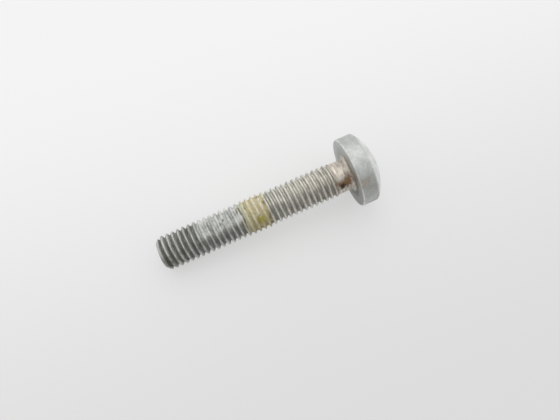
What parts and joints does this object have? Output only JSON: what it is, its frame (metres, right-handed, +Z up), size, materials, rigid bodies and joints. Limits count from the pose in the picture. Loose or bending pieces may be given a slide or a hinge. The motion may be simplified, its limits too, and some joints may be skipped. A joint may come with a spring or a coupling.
{
  "type": "bolt",
  "caption": "Worn pan-head machine bolt with a six-lobe recess, a plain neck and a coarse right-hand thread, lying on its side.",
  "frame": {"origin": "middle of the underside of the bolt's box as it lies, on the surface it rests on", "axes": "+X from the tip to the head along the surface, +Z up; the bolt's own axis rises 5.2 degrees from the tip to the head"},
  "size_m": [0.0516, 0.016, 0.0162],
  "materials": {
    "steel": "dull worn zinc over forged and rolled steel"
  },
  "bodies": {
    "root": {"bolt": "steel"}
  },
  "joints": []
}
